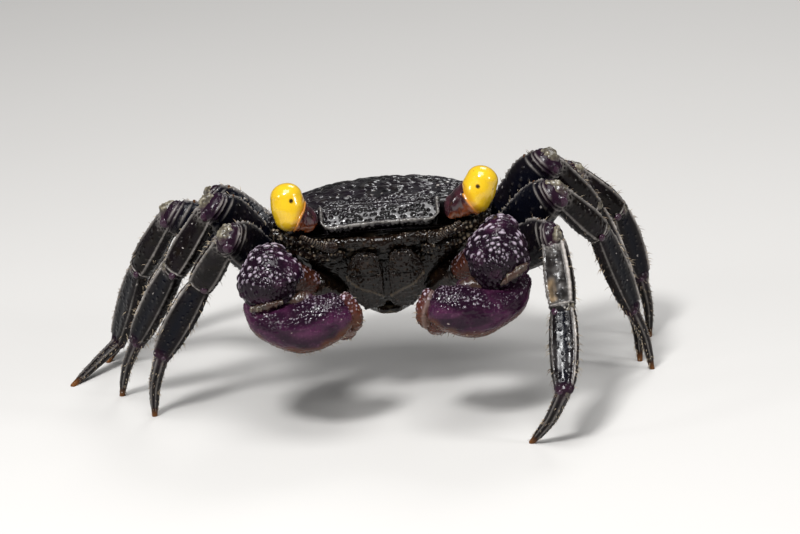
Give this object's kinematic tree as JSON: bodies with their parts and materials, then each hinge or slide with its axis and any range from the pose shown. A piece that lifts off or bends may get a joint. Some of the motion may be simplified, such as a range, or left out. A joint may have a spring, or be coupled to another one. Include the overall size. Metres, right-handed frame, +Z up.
{
  "type": "vampire crab",
  "caption": "Vampire crab as a still life-size model: near-black shell, yellow stalked eyes, purple claws folded before the mouth, long walking legs on the floor",
  "frame": {"origin": "on the floor, under the middle of the bounding box", "axes": "+Z up; -Y is the way the crab faces; +X is the crab's left; feet on z = 0"},
  "size_m": [0.0444, 0.0277, 0.0187],
  "materials": {
    "shell": "granular, glossy, near-black with a violet tint",
    "leg": "fine-grained, half gloss, black with brown and violet tints",
    "claw": "granular above, smooth below, half gloss, purple",
    "underside": "fine-grained, dull, brown-black",
    "stalk": "smooth, half gloss, dark purple-red with an orange-brown rim",
    "eye": "smooth, glossy, yellow"
  },
  "bodies": {
    "root": {"abdomen": "underside", "antenna_left": "underside", "antenna_right": "underside", "antennule_left": "underside", "antennule_right": "underside", "carapace": "shell", "claw_carpus_left": "claw", "claw_carpus_right": "claw", "claw_finger_left": "claw", "claw_finger_right": "claw", "claw_merus_left": "claw", "claw_merus_right": "claw", "claw_palm_left": "claw", "claw_palm_right": "claw", "epistome": "underside", "eye_left": "eye", "eye_right": "eye", "eyestalk_left": "stalk", "eyestalk_right": "stalk", "leg2_left_carpus": "leg", "leg2_left_dactylus": "leg", "leg2_left_merus": "leg", "leg2_left_propodus": "leg", "leg2_right_carpus": "leg", "leg2_right_dactylus": "leg", "leg2_right_merus": "leg", "leg2_right_propodus": "leg", "leg3_left_carpus": "leg", "leg3_left_dactylus": "leg", "leg3_left_merus": "leg", "leg3_left_propodus": "leg", "leg3_right_carpus": "leg", "leg3_right_dactylus": "leg", "leg3_right_merus": "leg", "leg3_right_propodus": "leg", "leg4_left_carpus": "leg", "leg4_left_dactylus": "leg", "leg4_left_merus": "leg", "leg4_left_propodus": "leg", "leg4_right_carpus": "leg", "leg4_right_dactylus": "leg", "leg4_right_merus": "leg", "leg4_right_propodus": "leg", "leg5_left_carpus": "leg", "leg5_left_dactylus": "leg", "leg5_left_merus": "leg", "leg5_left_propodus": "leg", "leg5_right_carpus": "leg", "leg5_right_dactylus": "leg", "leg5_right_merus": "leg", "leg5_right_propodus": "leg", "maxilliped_left": "underside", "maxilliped_right": "underside", "underbody": "underside"}
  },
  "joints": []
}
